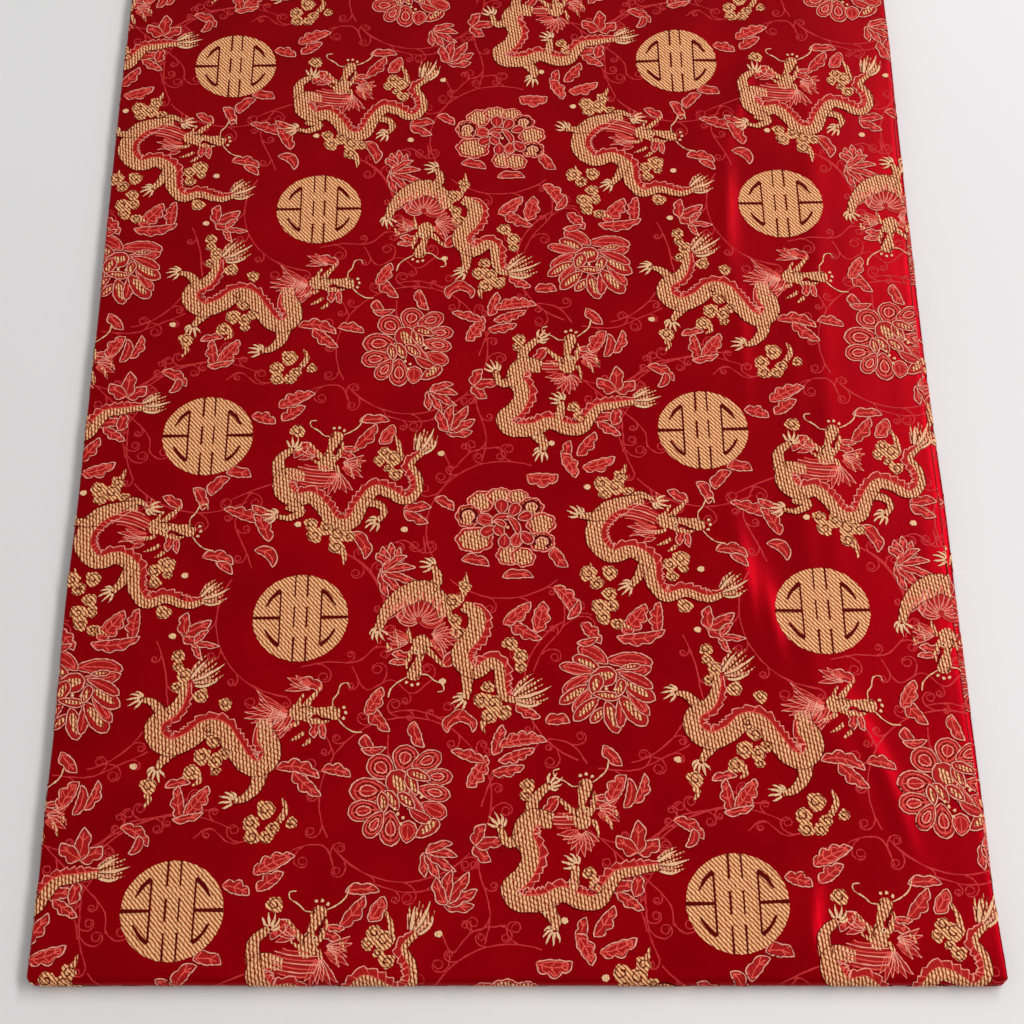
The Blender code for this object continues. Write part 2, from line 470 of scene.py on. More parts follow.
# A spine or limb is knots of x, y and width, and a limb ends with the angle of its claw.
# ruff: x, y, width, height, angle, bend. manes: x, y, first and last angle, count, length.
# tuft: x, y, angle, length, spread. fin is the side that the fin stands on.
Dragon = namedtuple("Dragon", "spine fin skull aim ruff manes tuft limbs")
DRAGONS = (
    Dragon(
        spine=(
            (42, -225, 5), (34, -225, 8.6), (33, -231, 9.4), (38, -236, 8.4), (45, -235, 7.4),
            (50, -240, 7), (55, -247, 7), (62, -247, 7.4), (66, -239, 7), (71, -232, 6.6),
            (77, -233, 6), (84, -237, 5.4), (89, -233, 5), (89, -226, 4.6), (86, -220, 4),
            (91, -214, 3.4),
        ),
        fin=1,
        skull=(51.5, -220),
        aim=78,
        ruff=(46, -225.4, 19, 11, -8, 25),
        manes=(
            (55, -223, -112, -60, 6, 11.5), (57, -220, -42, 18, 6, 10), (47, -215, 145, 188, 4, 8),
        ),
        tuft=(90, -214.5, 62, 13, 42),
        limbs=(
            (((31, -225, 6), (31, -217, 5), (36.5, -212, 3)), 60),
            (((36, -238, 7), (41, -242, 4.6), (36, -245, 3.2), (31, -244, 2.2)), 165),
            (((67, -238, 5), (73, -239, 4), (75.5, -243, 3.4), (73, -247, 2.6)), 200),
        ),
    ),
    Dragon(
        spine=(
            (183, -238, 5), (175, -240, 7), (168, -243, 8.6), (163, -250, 8.6), (163, -258, 8.6),
            (169, -264, 8), (177, -262, 7.4), (184, -267, 7.4), (185, -276, 6.6), (190, -283, 6),
            (198, -281, 5.4), (207, -284, 4.6), (214, -282, 3.6),
        ),
        fin=1,
        skull=(191.5, -249),
        aim=-4,
        ruff=(181, -244.4, 18, 9, -18, -30),
        manes=(
            (189, -252.4, 170, 186, 4, 13), (192, -241, 128, 158, 3, 7), (188, -255.4, 176, 200, 2, 8),
        ),
        tuft=(212.5, -282, 22, 12, 52),
        limbs=(
            (((168, -245, 7), (162, -246, 4.6), (156.5, -245.6, 3)), 120),
            (((176, -239, 5), (182, -236, 4), (188, -239, 1.6)), -35),
            (((183, -266, 6), (180, -273, 4.6), (176.5, -278, 3)), 190),
        ),
    ),
    Dragon(
        spine=(
            (31, -334, 6), (31, -341, 9), (34, -348, 9), (30, -354, 8.4), (24, -352, 8.4),
            (19, -345, 8.6), (14, -338, 8.6), (8, -337, 8.6), (2, -342, 8.6), (-6, -345, 9),
            (-12, -340, 8.6), (-11, -334, 7.6), (-5, -330, 6.4), (-2, -324, 5), (-1, -318, 4.4),
        ),
        fin=-1,
        skull=(43.5, -332),
        aim=2,
        ruff=(36.5, -334.6, 8, 13, 62, 20),
        manes=(
            (40, -332, 150, 204, 9, 17), (40, -336, 206, 236, 3, 8), (49, -321, 150, 178, 4, 11),
        ),
        tuft=(1, -318, 30, 15, 48),
        limbs=(
            (((-9, -333, 6), (-13, -327, 4), (-18, -325, 2.4)), 172),
            (((-4, -346, 6), (-8, -351, 4), (-10, -354, 2.6)), 250),
            (((30, -354, 8), (29, -361, 5.6), (25, -366, 4), (20.5, -367.6, 2.6)), 150),
        ),
    ),
    Dragon(
        spine=(
            (142, -377, 6.6), (135, -376, 9), (131, -382, 9.6), (134, -390, 8.6), (131, -398, 8.6),
            (126, -403, 8.6), (129, -408, 8.6), (138, -408, 8), (145, -405, 7.6), (152, -408, 7.6),
            (158, -408, 7.4), (162, -403, 6.6), (166, -398, 5.6), (173, -396.5, 4.8), (182, -395, 4),
        ),
        fin=1,
        skull=(154, -377),
        aim=87,
        ruff=(146.5, -377, 9, 7, 0, 10),
        manes=(
            (153, -381, 196, 318, 9, 9.5), (159, -373, -40, 22, 5, 9),
        ),
        tuft=(181, -395, 8, 12, 44),
        limbs=(
            (((134, -376, 7), (135, -369, 5), (141, -362.6, 3.4)), 20),
            (((130, -384, 6), (124.6, -385, 4.4), (122, -379, 2.8)), 100),
            (((149, -404, 5), (150, -398, 4), (150.5, -394.6, 2.8)), 128),
            (((138, -409, 7), (142, -415, 5), (142, -419, 3.4)), 226),
        ),
    ),
    Dragon(
        spine=(
            (108, -286, 5), (114, -290, 8.4), (113, -298, 9), (108, -305, 8.6), (108, -311, 8.6),
            (113, -315, 7.4), (119, -311, 6.6), (123, -314, 6), (123, -321, 5.4), (125, -326, 4.4),
            (129, -327, 3.4),
        ),
        fin=1,
        skull=(91, -302),
        aim=262,
        ruff=(90.5, -292, 15, 15, 84, 60),
        manes=(
            (95, -300, -52, 40, 9, 11), (87, -301, 150, 200, 5, 10), (85, -285, 200, 245, 3, 10),
        ),
        tuft=(128, -327, 18, 16, 50),
        limbs=(
            (((101, -291, 6), (99, -284, 8), (92, -279, 10),
              (84, -282, 10), (77, -289, 6), (74, -296, 3.4)), 262),
            (((94, -279, 6), (98, -274, 4.6), (96, -268, 3)), 150),
            (((109, -314, 6), (110, -321, 4.4), (109, -326.6, 3)), 190),
        ),
    ),
)

# A head's strokes in its own frame, with the snout along x: place, width
SNOUT = (
    (-3.4, 0.4, 2), (-1.2, 0.6, 6.8), (2.2, 0.7, 6.2), (6, 1.0, 3.0), (9, 0.6, 3.4),
    (12, -0.2, 5.6), (15, -0.4, 5.2), (16.6, -0.4, 2.6),
)
JAW = ((2.4, -1.8, 2.4), (5.6, -3.4, 1.8), (10, -3.9, 1.3), (12, -3.4, 0.5))
HORNS = (
    ((2.4, 2.4, 2.6), (4.6, 5.6, 2.3), (7.4, 8.6, 1.5), (8.8, 11.0, 0.7)),
    ((0.2, 2.4, 1.6), (0.6, 5.4, 1.4), (2.4, 8.2, 0.6)),
)

# Its beard and cheeks: place, length, any width, and angle
PRONGS = (((0.6, -3.4), 7.6, 214), ((2.6, -7.6), 7.0, 226), ((5.0, -10.6), 4.6, 236))
CHEEKS = (((6.6, -6.2), 8.5, 4.4, 258), ((9.6, -7.6), 7.0, 3.0, 275), ((5.2, 12.8), 10.0, 5.0, 150))
PRONG_WIDTH = 2.0
CHEEK_BEND = 25

# Its eye, thin lines and nose
EYE = (4.4, -0.9)
EYE_DISCS = (("rose", 3.2), ("cream", 2.0), ("dark", 1.0))
FACE_LINES = (
    ((6, -1.8), (9.6, -2.2), (13, -3.0)),
    ((13.4, 1.2), (14.6, 1.8), (15.6, 1.2)),
    ((1.0, 2.4), (3.4, 3.0), (6.0, 1.6)),
)
WHISKERS = (
    ((13.6, 2.6), (13.6, 5), (15.6, 8), (17, 11.6), (19.6, 12.2), (20.4, 10)),
    ((15.6, -3), (18.4, -6.4), (21.6, -8.6), (25, -9)),
)
FACE_LINE = 0.45
NOSE_DOTS = ((18.0, 1.8), (18.7, -0.4), (17.8, -2.7))
NOSE_DOT = 1.3


def head(x, y, aim):
    """A dragon's head from the side: cheeks, snout, jaw, horns, beard, eye, nose and whiskers."""

    def placed(knots):
        """Knots in the head's frame, with any widths after x and y, laid on the pattern."""
        knots = np.array(knots, float)
        return np.column_stack([turned(knots[:, :2], aim) + (x, y), knots[:, 2:]])

    for k, (spot, length, width, angle) in enumerate(CHEEKS):
        blade(*placed([spot])[0], length, width, aim + angle, CHEEK_BEND, 2, 2 * k)
    for knots in (SNOUT, JAW, *HORNS):
        brush("scaled", placed(knots), 0.06)
    for spot, length, angle in PRONGS:
        lock(*placed([spot])[0], length, PRONG_WIDTH, aim + angle, -CHEEK_BEND, "scaled", 2)
    for thread, width in EYE_DISCS:
        disc(thread, *placed([EYE])[0], width)
    for knots in FACE_LINES:
        strip("dark", smooth(placed(knots), 1.0), FACE_LINE)
    for spot in placed(NOSE_DOTS):
        disc("cream", *spot, NOSE_DOT)
    for knots in WHISKERS:
        strip("cream", smooth(placed(knots)), FACE_LINE)


# A whorl of hair: from what bend it is drawn, its flames, and shares of its width
WHORL_BEND = 50
WHORL_FLAMES = 13
WHORL_SPREAD = 140
WHORL_CURL = 2.2
WHORL_START = 0.08
FLAME_WIDTH = 0.15
HEART_WIDTH = 0.2
RUFF_PITCH = 1.5


def whorl(x, y, width, angle, bend):
    """Hair that whirls outwards from one place, in flames."""
    for k, share in enumerate(np.linspace(-1, 1, WHORL_FLAMES)):
        aim = angle + WHORL_SPREAD * share
        start = toward(aim) * width * WHORL_START + (x, y)
        length = width * (0.66 + 0.12 * math.sin(2.4 * k) + 0.14 * abs(share))
        flame(*start, length, width * FLAME_WIDTH, aim, -bend * WHORL_CURL * share)
    disc("rose", x, y, width * HEART_WIDTH, puff=0.12)


def ruff(x, y, width, height, angle, bend):
    """The hair behind a head: a red patch under curved light lines, or a whorl where it bends far."""
    if bend > WHORL_BEND:
        whorl(x, y, width, angle, bend)
        return
    disc("rose", x, y, width, height, angle, lobes=7, depth=0.12, puff=0.0)
    lines = max(4, round(height / RUFF_PITCH))
    for k, share in enumerate(np.linspace(-0.84, 0.84, lines)):
        middle = turned([(0, share * height / 2)], angle)[0] + (x, y)
        length = width * math.sqrt(1 - share**2)
        strip("peach" if k % 2 else "pink", bowed(*middle, length, angle, bend, 7), LINE)


MANE_WIDTH = 2.7
MANE_SPREAD = 30


def mane(x, y, first, last, count, length):
    """A fan of red flames that spread from one place."""
    for share in np.linspace(0, 1, count):
        angle = first + (last - first) * share
        reach = length * (0.84 + 0.16 * math.sin(9 * share + count))
        flame(*toward(angle) + (x, y), reach, MANE_WIDTH, angle, MANE_SPREAD * (share - 0.5))


# The brush at a tail's end: its root, and its locks' width, number, starts and bends
ROOT = (6.5, 4.6)
LOCKS = 8
LOCK_WIDTH = 1.35
LOCK_START = (0.6, 4.2)
LOCK_BEND = 12
LOCK_SPREAD = 2.0
LOCK_CLOSING = 1.9


def tuft(x, y, angle, length, spread):
    """The brush at the tail's end: curved locks with dark gaps between them, over a red root."""
    disc("rose", x, y, *ROOT, angle, puff=0.0)
    for k, share in enumerate(np.linspace(-0.5, 0.5, LOCKS)):
        reach = length * (1 - 0.5 * abs(share)) * (1.0 if k % 2 else 0.84)
        start = turned([(LOCK_START[0], LOCK_START[1] * share)], angle)[0] + (x, y)
        aim = angle + spread * share * LOCK_SPREAD
        bend = LOCK_BEND - spread * share * LOCK_CLOSING
        line = lock(*start, reach, LOCK_WIDTH, aim, bend, "scaled" if k % 3 else "cream", 2)
        edge = line + sideways(line) * 0.62
        strip("peach" if k % 2 else "dark", edge[: len(edge) * 2 // 3], LINE * 0.8)


# A claw's toes: their angles, start, length, width and hook. Those at the sides are shorter
# and hooked by another amount.
TOES = (-92, -48, -8, 34, 80)
TOE_START = 0.9
TOE_LENGTH = 5.6
TOE_SHORTENED = 1 / 60
TOE_WIDTH = 1.1
TOE_HOOK = 30
TOE_OPENED = 0.8


def claw(x, y, angle):
    """Five hooked toes, a little apart."""
    for spread in TOES:
        aim = angle + spread
        length = TOE_LENGTH - TOE_SHORTENED * abs(spread)
        hook = TOE_HOOK - TOE_OPENED * spread
        lock(*toward(aim) * TOE_START + (x, y), length, TOE_WIDTH, aim, hook, "cream")


SLIMMED = 0.91
# Width of the painted shadow line along a body's edge, where its gold floats meet the ground.
BODY_EDGE_SHADOW = 0.22


def body(knots, hands=(-1, 1)):
    """A gold body or limb, with a dark line of painted shadow along each of the given sides."""
    line = smooth(knots, 1.5)
    girth = line[:, 2] * SLIMMED
    strip("scaled", line[:, :2], girth, spans=4, puff=0.07)
    for hand in hands:
        edge = line[:, :2] + sideways(line[:, :2]) * (hand * girth / 2)[:, None]
        # Painted shadow along the edge, in dark thread.
        strip("dark", edge, BODY_EDGE_SHADOW)
    return line


# The fin: its teeth, its height at their feet and more at their tips, and how far it
# reaches into the body, fades at its ends and stays inside the middle of a bend
TOOTH = 2.8
FIN_FOOT = 0.7
FIN_TIP = 1.6
FIN_ROOT = 0.9
FIN_FADE = 8
BEND_SHARE = 0.85


def fin(line, girth, hand):
    """A red band with a saw edge along one side of a body, and a light line up each tooth."""
    side = sideways(line) * hand
    reach = reach_along(line)
    taper = ease(np.minimum(reach, reach[-1] - reach) / FIN_FADE)
    saw = (reach / TOOTH) % 1.0
    ahead = np.gradient(line, axis=0)
    heading = np.unwrap(np.arctan2(ahead[:, 1], ahead[:, 0]))
    room = BEND_SHARE / np.maximum(np.gradient(heading, reach) * hand, 0.01)
    half = girth / 2 * SLIMMED
    inner = line + side * np.minimum(half - FIN_ROOT, room)[:, None]
    outer = line + side * np.minimum(half + taper * (FIN_FOOT + FIN_TIP * saw), room)[:, None]
    points = np.stack([inner, outer], 1).reshape(-1, 2)
    add("rose", points, grid_faces(len(line), 2), 0.13)
    strip("peach", outer, LINE * 0.8)
    strip("pink", inner, LINE)
    for place in np.arange(2 * TOOTH, reach[-1] - 2 * TOOTH, TOOTH):
        i = np.searchsorted(reach, place)
        strip("pink", [inner[i + 1], outer[i - 1]], LINE)


def dragon(row):
    """One dragon: tail, limbs, body and fin, then ruff, manes and head over them."""
    tuft(*row.tuft)
    for knots, angle in row.limbs:
        claw(*body(knots)[-1, :2], angle)
    body(row.spine, (-row.fin,))
    line = smooth(row.spine, 0.7)[5:]
    fin(line[:, :2], line[:, 2], row.fin)
    ruff(*row.ruff)
    for fan in row.manes:
        mane(*fan)
    head(*row.skull, row.aim)


# Clouds

# Lumps of cloud: x, y, size, angle
CLOUDS = (
    (45.5, -248, 5.6, 60), (47, -253, 6.6, 200), (52, -250, 6.4, 20), (57, -253, 7.4, 120),
    (61.5, -254, 5, 0), (56, -258.5, 6.4, 250), (75.5, -214, 5.6, 90), (79, -217, 7.4, 30),
    (73, -218, 5, 180), (80, -225, 5.6, 300), (77, -221.5, 4, 120), (38.2, -203, 6.2, 90),
    (166, -230, 6.4, 150), (172, -232, 7.2, 60), (174, -227.5, 5.8, 30), (167, -235, 5.4, 240),
    (177, -234.5, 4.6, 300), (159, -272, 6.8, 150), (162, -277, 5, 250), (168, -272, 6.4, 45),
    (163.5, -276, 4, 10), (167.5, -281.5, 5.8, 80), (163, -287, 6.6, 170), (168.5, -287, 5, 320),
    (164.5, -292, 6, 200), (170, -295, 5, 300), (197.5, -266, 7, 60), (192.5, -268.5, 5.8, 170),
    (193, -274, 5, 260), (198, -270.5, 4, 320), (197.5, -287.5, 6, 270), (-5, -306.5, 5, 110),
    (-5, -311, 4.6, 240), (-2, -315, 6.2, 30), (-5, -320, 4.4, 200), (5, -324, 6, 330),
    (15, -327.5, 5.2, 60), (9, -338, 5, 120), (11.5, -343, 5.8, 300), (7, -349, 6.6, 180),
    (12.5, -351, 5.6, 0), (16, -348, 4.6, 60), (12.5, -355, 4, 270), (3.5, -355.5, 6.4, 120),
    (-12.5, -361, 6.4, 60), (33, -371, 7.2, 40), (27.5, -376, 6, 130), (28, -381.5, 6, 230),
    (36, -378.5, 5, 320), (33.5, -382, 5, 270), (43, -376.5, 4.4, 0), (133, -362.5, 5.4, 80),
    (132, -366.5, 4.6, 200), (155.5, -397.5, 5, 110), (158, -403, 6.6, 240), (104, -284, 6.8, 150),
    (109, -277.5, 5.4, 45), (105, -292.5, 5.4, 60), (106, -298, 6.4, 270), (127, -303, 6, 90),
    (131, -308.5, 6, 20), (131, -313.5, 4.6, 300), (118, -321.5, 5, 100), (115, -327, 6, 180),
    (120, -328.5, 7, 30), (118, -334, 6, 230), (124, -332.5, 6.2, 310),
)

# Tails of the clouds, as knots of x, y and width, and loose dots
STEMS = (
    ((58, -260, 3.4), (59.5, -263, 2), (59.4, -267, 0.5)),
    ((82.5, -217, 2.2), (81, -210, 2), (79, -205.5, 0.5)),
    ((173, -227, 3), (176, -224, 2), (176.5, -221, 0.6)),
    ((6, -356, 3), (6.8, -359, 2.2), (4, -361, 0.6)),
    ((-13, -364, 2.6), (-12, -367, 2), (-14, -369.5, 0.5)),
    ((38, -376, 2.6), (40.5, -371, 2.2), (39, -366.5, 0.5)),
    ((107, -284, 2.2), (109, -278, 2.6), (109.4, -271, 0.5)),
    ((117, -335, 3), (115.6, -338, 2), (116.4, -341, 0.5)),
    ((160, -270, 2.2), (160, -267.5, 0.5), (160, -267, 0.3)),
    ((170, -294, 3), (173, -296, 1.8), (176, -297, 0.4)),
)
DOTS = (
    (99, -215), (84, -251), (40, -248), (160, -232), (205, -271), (202, -298), (-19, -353), (100, -319),
    (145.5, -415.5),
)
DOT = (3.0, 2.6)

# A cloud's lesser bumps, by turn and share of its size, and its curl
BUMPS = ((95, 0.50), (215, 0.44))
BUMP_REACH = 0.36
CURL_START = -60
CURL_TURN = 330
CURL_POINTS = 14
CURL_REACH = (0.44, 0.10)
CURL_WIDTH = (0.25, 0.6)


def cloud(x, y, size, angle):
    """A lump of cloud: three bumps, and a dark line that curls inwards."""
    disc("gold", x, y, size, lobes=5, depth=0.13, angle=angle, puff=0.06)
    for turn, share in BUMPS:
        disc("gold", *toward(angle + turn) * size * BUMP_REACH + (x, y), size * share, puff=0.06)
    turns = np.linspace(angle + CURL_START, angle + CURL_TURN, CURL_POINTS)
    reach = size * np.linspace(*CURL_REACH, CURL_POINTS)
    curl = toward(turns) * reach[:, None] + (x, y)
    strip("dark", curl, np.linspace(*CURL_WIDTH, CURL_POINTS))


# Leaves

Leaf = namedtuple("Leaf", "x y length width angle bend lobes")
LEAVES = table(
    Leaf,
    (71, -197.6, 13, 5, 0, -30, 2), (68, -206, 15, 6, 52, 30, 3), (76.5, -205, 11, 6.4, 60, 20, 2),
    (67.5, -257.5, 15, 6, -62, -90, 2), (89, -240.5, 12, 5.4, 8, -50, 2),
    (88.5, -245.6, 12, 5, -30, 20, 2), (101, -238.6, 10, 5, -35, -60, 2),
    (29, -262, 13, 5.4, -45, -110, 1), (17.5, -243, 18, 6, 158, 15, 4), (25, -242, 12, 5, 150, -25, 3),
    (25.6, -248.5, 15, 6, 118, 30, 3), (5.5, -228.5, 12, 6, 48, -80, 2), (15, -223, 11, 6, -10, -60, 2),
    (-0.5, -235, 12, 5.4, -68, -70, 2), (9, -262.5, 14, 5.6, -15, -70, 3),
    (11, -267.4, 9, 4.2, -40, -20, 1), (113.6, -265.4, 12, 5.4, -15, -60, 2),
    (131, -272, 13, 4.8, 0, -60, 2), (142, -228, 14, 7.4, 0, 70, 3), (147.4, -265.5, 11, 6, -60, 50, 2),
    (151, -284, 17, 6.6, -60, -60, 4), (153.4, -288.6, 10, 4, 60, 40, 1),
    (160, -299, 12, 5.8, -50, -20, 3), (158, -302.6, 9, 3.6, 15, 30, 1),
    (89.6, -341.6, 12, 5.4, -70, 60, 2), (71, -345.6, 10, 5.2, -62, 60, 2),
    (73.4, -347.6, 10, 3.6, 4, 50, 1), (60, -355.5, 12, 5.2, -15, -60, 3),
    (-15, -380, 14, 5.4, -35, -60, 3), (-14.8, -385, 9, 3.4, -115, -100, 0),
    (145, -335.5, 10, 5.6, 0, -70, 2), (45, -354, 18, 6, -14, -70, 4), (48, -361.6, 15, 6, -42, 20, 3),
    (167, -363.6, 13, 7, 60, -30, 3), (172.6, -366, 13, 4, 80, 70, 0),
    (177.4, -364.4, 13, 4.6, 70, 60, 3), (166, -351.5, 11, 5.4, -50, 20, 2),
    (167.6, -402.6, 10, 5.4, 10, 30, 2), (173.2, -402.4, 9, 5.4, 80, 30, 2),
    (170.4, -408.8, 12, 4.8, -35, 10, 3), (24, -401.6, 11, 6, -20, -40, 3),
    (36.6, -391.8, 17, 7, 25, -30, 4), (36, -398.6, 12, 6, 35, -20, 3),
    (-1.5, -359.8, 10, 4, 10, -40, 2), (-0.8, -367.4, 14, 5.4, 98, -20, 3),
    (6.6, -367.6, 15, 7, 55, 20, 4), (3.4, -374, 12, 3.6, 12, 30, 2), (109.6, -350, 14, 5, 160, 15, 3),
    (114, -357, 15, 6.6, 60, 20, 4), (122, -343.6, 13, 5.6, 75, 10, 3),
    (131.6, -343.6, 19, 6.4, 6, -50, 5), (129, -350.4, 15, 5.2, 20, 10, 4),
    (126, -356.4, 13, 5, 12, 20, 3), (130.6, -289.6, 15, 6.4, 40, 20, 3),
    (132, -297.4, 17, 6, -35, 35, 4), (139.4, -291, 14, 7.6, 78, 10, 3),
    (177.4, -293, 16, 8, 52, 20, 4), (186, -292.4, 14, 6, 85, -30, 4), (180, -301.4, 20, 6, 8, 50, 4),
    (73.6, -326.6, 13, 6.4, 62, 20, 3), (74.6, -334.6, 15, 6, -52, 20, 3),
    (107.4, -334, 19, 5.6, 0, -210, 3), (153.4, -221.6, 13, 6.4, -65, -30, 3),
    (166, -221, 15, 6.6, 20, 40, 3), (161, -211, 14, 6, 55, 20, 3), (133.6, -332.6, 11, 5, -30, 20, 3),
    (152, -214, 10, 5, 78, -30, 2),
)

# Fans of leaves: x, y, length, width, angle, number of leaves
PALMS = (
    (78, -266.6, 8.6, 15, 84, 5), (74.6, -269.6, 15, 15, -22, 5), (94, -388, 13, 15, -38, 5),
    (101, -409, 14, 19, 52, 5), (-4, -297.6, 12, 12, 28, 3), (0.6, -301, 9.4, 7, -10, 3),
    (173.6, -390, 12, 15, 84, 3), (112, -386, 11, 12, 8, 3),
)

# Leaves wider than this have an inner ring
RINGED_WIDTH = 6.2


# Flowers

# Petals: x, y, length, width, angle, bend, and inner rings or GOLD for a gold middle
GOLD = -1
WIDE_LOTUS = (
    (71.5, -364, 15, 9.6, 180, 0, 2), (70, -372, 13, 8, 188, 15, 2),
    (76.4, -354.8, 12, 9.4, 140, 10, 2), (85.6, -350.6, 11.5, 9.4, 80, 0, 2),
    (94, -352, 12.5, 7.4, 25, 10, 2), (98, -358.6, 12, 6.4, 0, 10, 2), (97.4, -365, 13, 6.4, -14, 0, 2),
    (97.4, -372, 11, 6.4, -28, 0, 1), (80.6, -379, 14, 8, 272, 0, 2),
    (74.4, -377.4, 12, 6.4, 240, 10, 2), (87, -380.6, 9, 6.4, 85, 0, 1),
    (95, -379, 11, 5.2, 38, 10, GOLD), (89.4, -370.4, 15, 5, -62, 30, 1),
    (91.4, -374.4, 10, 4, -30, 30, 0), (83.4, -361.4, 12, 9, 120, 0, GOLD),
    (88.4, -361.6, 10, 4, 115, 0, GOLD), (80.6, -367.4, 9.4, 4.2, 122, 0, GOLD),
    (77.4, -368.6, 8.4, 3.8, 98, 0, GOLD), (86.4, -368, 9, 4.2, 135, 0, GOLD),
    (91, -358, 10, 4.2, 158, 0, GOLD),
)
SLIM_LOTUS = (
    (174.4, -311, 19, 6.6, -4, -20, 1), (175, -316, 17, 5, 8, 20, 1),
    (174.6, -313.6, 8, 2.4, 6, 0, GOLD), (160, -308, 14, 6.2, 148, 30, 1),
    (157, -311.8, 12, 5, 152, 10, GOLD), (153, -314.4, 15, 4.6, 166, 0, 1),
    (153, -320.6, 14, 5, 216, 0, 1), (151.8, -325.2, 14, 4.8, 214, 0, GOLD),
    (155, -328, 13, 4.4, 232, 0, 1), (156.4, -331.4, 14, 5.2, 224, 0, GOLD),
    (161, -334, 9, 4, 225, 20, GOLD), (166.4, -335, 14, 6, 286, 0, GOLD),
    (169.8, -333.6, 13, 4, 268, -20, 0), (174.6, -332.4, 16, 6.6, -52, 0, GOLD),
    (176.4, -328, 16, 4.4, -56, 0, 1), (177, -323.6, 16, 6.4, -36, 0, GOLD),
    (177, -319.4, 15, 4.4, -28, -20, 0), (164, -317.6, 11, 8, 10, 0, GOLD),
    (160.4, -321, 9, 5.4, 70, 0, GOLD), (165, -326, 11, 3.6, -10, 0, GOLD),
    (170, -322.6, 8, 3.8, 75, 0, GOLD),
)
PEONY_INNER = (
    (124, -240.6, 8, 6, 90, 0, 0), (129.4, -242.4, 8, 5.4, 65, 0, 0),
    (133.8, -245.4, 7.4, 4.8, 20, 0, 0), (117.6, -247, 9, 6.4, 165, 0, 1),
    (118.6, -252.2, 8.4, 5.4, 210, 0, 0), (123, -252, 7, 5, 120, 0, 0),
    (125.2, -257, 8, 5.4, 265, 0, 0), (130.2, -256.4, 8.4, 5.6, 250, 0, 1),
    (134.4, -255.4, 8, 5.4, 310, 0, 0), (124, -245.6, 12, 3.6, 10, -100, 0),
    (129.6, -249, 12, 3.4, -62, -60, 0), (123.6, -248.4, 7, 3, -30, -60, 0),
)

# Outer lobes of the peony: x, y, width, height, angle, curled
PEONY_LOBES = (
    (115.6, -238.4, 12.6, 10.4, 30, False), (123.6, -235.6, 12, 7.6, 0, False),
    (131, -236.2, 9, 7, 0, False), (136.6, -241, 10.6, 9, -20, True),
    (140.4, -249, 12.6, 10.4, 10, False), (140.6, -257.4, 11, 9.6, 0, True),
    (110.4, -245, 11, 11.4, 0, True), (112.8, -256.2, 16, 12, -5, False),
    (127, -263.4, 11, 9.4, 0, False), (132.6, -264.4, 10.6, 9, -20, False),
)
SEEDS = (
    (82, -371.4), (83.2, -373.4), (85.2, -375), (91.2, -365), (92.2, -366.8), (95, -377), (164.5, -323),
    (168, -323.2), (84.4, -377.4), (138.4, -412.6), (126.6, -250.6),
)
SEED = 1.3

# A peony's gold lobes, and the curl on some: thread, reach and width
LOBE_GOLD = 0.80
LOBE_CURLS = (("dark", 0.30, 1.3), ("peach", 0.22, 0.6))
LOBE_CURL_TURNS = (-60, 210)


def lobe(order, x, y, width, height, angle, curled):
    """A peony's outer lobe: red with a light outline and a gold middle, and a curl on some."""
    level = level_of(order)
    over = level + LINE_STEP
    shape = {"angle": angle, "lobes": 7, "depth": 0.13, "puff": 0.0}
    rim = disc("rose", x, y, width, height, **shape, level=level)
    strip("peach", np.vstack([rim, rim[:2]]), LINE, level=over)
    disc("scaled", x, y, width * LOBE_GOLD, height * LOBE_GOLD, **shape, level=over)
    turns = np.linspace(*LOBE_CURL_TURNS, CURL_POINTS)
    for thread, share, line_width in LOBE_CURLS if curled else ():
        curl = toward(turns) * (width * share, height * share) + (x, y)
        strip(thread, curl, line_width, level=level + 3 * LINE_STEP)


# A petal's widest place, its bluntness, and its gold middle
PETAL_FAT = 0.58
PETAL_BLUNT = 0.5
MIDDLE_LENGTH = 0.70
MIDDLE_WIDTH = 0.46
MIDDLE_POINTS = 9


def petal(order, size, x, y, length, width, angle, bend, rings):
    """A red petal with light lines, or with a gold middle."""
    shape = (length * size, width * size, angle, bend, 0, order, rings, rings != GOLD)
    blade(x, y, *shape, PETAL_FAT, PETAL_BLUNT)
    if rings == GOLD:
        t = np.linspace(0, 1, MIDDLE_POINTS)
        line = bowed(x, y, length * MIDDLE_LENGTH, angle, bend, MIDDLE_POINTS)
        widths = width * MIDDLE_WIDTH * np.sin(math.pi * t**0.8) ** 0.5
        strip("scaled", line, widths, 2, level=level_of(order) + LINE_STEP)


# Vines

